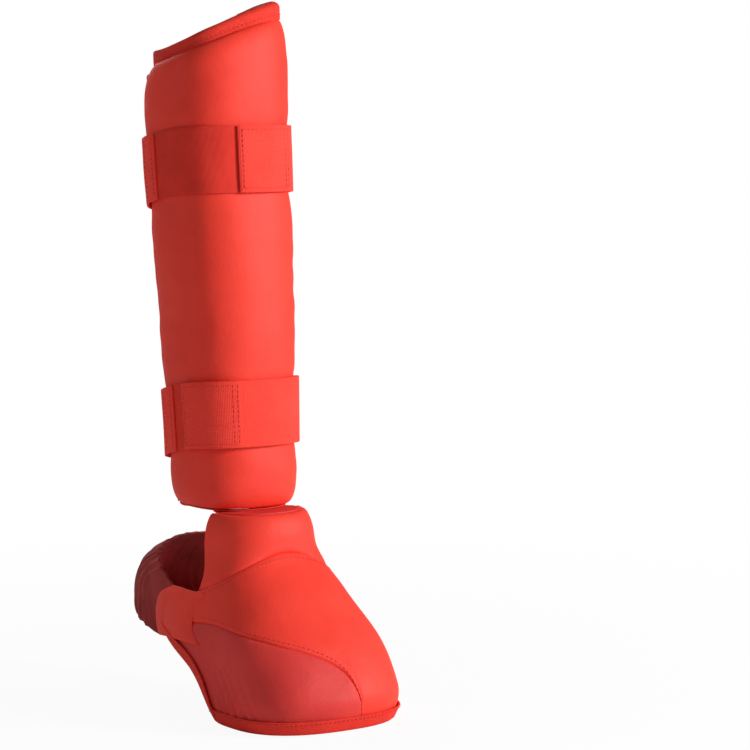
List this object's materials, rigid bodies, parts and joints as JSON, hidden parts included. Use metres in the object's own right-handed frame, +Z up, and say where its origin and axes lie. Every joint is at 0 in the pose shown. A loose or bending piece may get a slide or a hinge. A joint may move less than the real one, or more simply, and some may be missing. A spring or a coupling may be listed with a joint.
{
  "type": "karate shin and instep guard",
  "caption": "Padded shin sleeve closed behind by flaps and two elastic straps, with a padded instep guard hinged to its hem.",
  "frame": {"origin": "on the leg's axis at the ankle end, at the level of the instep guard's lowest hem", "axes": "+Z up the leg, -Y to the toes, +X to the wearer's left"},
  "size_m": [0.1332, 0.2522, 0.5068],
  "materials": {
    "red_leather": "semi-matt coated fabric",
    "dark_leather": "semi-matt coated fabric",
    "foam": "closed-cell foam",
    "lining": "knitted lining",
    "binding_tape": "folded tape",
    "elastic": "woven elastic",
    "heel_elastic": "woven elastic, gathered",
    "loop_fabric": "brushed loops",
    "hook_fabric": "moulded hooks"
  },
  "bodies": {
    "shin": {"shell_cover": "red_leather", "shell_foam": "foam", "sleeve_lining": "lining", "rim_binding": "binding_tape", "shell_hem_tape": "binding_tape", "upper_loop_band": "loop_fabric", "lower_loop_band": "loop_fabric", "upper_strap_anchor": "elastic", "lower_strap_anchor": "elastic", "instep_gusset": "binding_tape"},
    "upper_strap": {"upper_strap": "elastic"},
    "upper_tab": {"upper_strap_tab": "elastic", "upper_tab_hooks": "hook_fabric"},
    "upper_left_flap": {"upper_left_flap": "red_leather", "upper_left_flap_binding": "binding_tape"},
    "upper_right_flap": {"upper_right_flap": "red_leather", "upper_right_flap_binding": "binding_tape"},
    "lower_strap": {"lower_strap": "elastic"},
    "lower_tab": {"lower_strap_tab": "elastic", "lower_tab_hooks": "hook_fabric"},
    "lower_left_flap": {"lower_left_flap": "red_leather", "lower_left_flap_binding": "binding_tape"},
    "lower_right_flap": {"lower_right_flap": "red_leather", "lower_right_flap_binding": "binding_tape"},
    "instep": {"instep_main_panel": "red_leather", "instep_side_panel": "dark_leather", "instep_foam": "foam", "instep_lining": "lining", "instep_hem_binding": "binding_tape", "collar_cover": "red_leather", "collar_foam": "foam", "collar_lining": "lining", "sole_strap": "elastic", "heel_strap_anchor": "heel_elastic", "heel_loop_patch": "loop_fabric"},
    "heel_strap": {"heel_strap": "heel_elastic", "heel_strap_tab": "red_leather", "heel_tab_hooks": "hook_fabric"}
  },
  "joints": [
    {"name": "upper_strap_swing", "type": "hinge", "parent": "shin", "child": "upper_strap", "pos_m": [-0.04756, 0.05052, 0.38589], "axis": [-0.0156, 0.1001, 0.9949], "range_deg": [0, 60]},
    {"name": "upper_tab_swing", "type": "hinge", "parent": "upper_strap", "child": "upper_tab", "pos_m": [0.05221, 0.01683, 0.39282], "axis": [0.0163, 0.085, 0.9962], "range_deg": [0, 150]},
    {"name": "upper_left_flap_swing", "type": "hinge", "parent": "shin", "child": "upper_left_flap", "pos_m": [0.04476, 0.04908, 0.39999], "axis": [0.0144, 0.0924, 0.9956], "range_deg": [-51, 0]},
    {"name": "upper_right_flap_swing", "type": "hinge", "parent": "shin", "child": "upper_right_flap", "pos_m": [-0.04471, 0.04874, 0.39499], "axis": [-0.0148, 0.0943, 0.9954], "range_deg": [0, 54]},
    {"name": "lower_strap_swing", "type": "hinge", "parent": "shin", "child": "lower_strap", "pos_m": [-0.04366, 0.03248, 0.2039], "axis": [-0.0233, 0.0783, 0.9967], "range_deg": [0, 60]},
    {"name": "lower_tab_swing", "type": "hinge", "parent": "lower_strap", "child": "lower_tab", "pos_m": [0.04796, 0.00153, 0.21077], "axis": [0.0268, 0.0628, 0.9977], "range_deg": [0, 150]},
    {"name": "lower_left_flap_swing", "type": "hinge", "parent": "shin", "child": "lower_left_flap", "pos_m": [0.04055, 0.03179, 0.21498], "axis": [0.0301, 0.0879, 0.9957], "range_deg": [-51, 0]},
    {"name": "lower_right_flap_swing", "type": "hinge", "parent": "shin", "child": "lower_right_flap", "pos_m": [-0.04055, 0.03179, 0.21498], "axis": [-0.0301, 0.0879, 0.9957], "range_deg": [0, 54]},
    {"name": "instep_flex", "type": "hinge", "parent": "shin", "child": "instep", "pos_m": [0, -0.048, 0.143], "axis": [-1, 0, 0], "range_deg": [0, 40]},
    {"name": "heel_strap_swing", "type": "hinge", "parent": "instep", "child": "heel_strap", "pos_m": [0.05471, 0.01203, 0.06927], "axis": [0.022, 0.4134, -0.9103], "range_deg": [0, 70]}
  ],
  "couplings": [
    {"joint": "upper_tab_swing", "follows": "upper_strap_swing", "ratio": 2.5},
    {"joint": "upper_left_flap_swing", "follows": "upper_strap_swing", "ratio": -0.85},
    {"joint": "upper_right_flap_swing", "follows": "upper_strap_swing", "ratio": 0.9},
    {"joint": "lower_tab_swing", "follows": "lower_strap_swing", "ratio": 2.5},
    {"joint": "lower_left_flap_swing", "follows": "lower_strap_swing", "ratio": -0.85},
    {"joint": "lower_right_flap_swing", "follows": "lower_strap_swing", "ratio": 0.9}
  ]
}
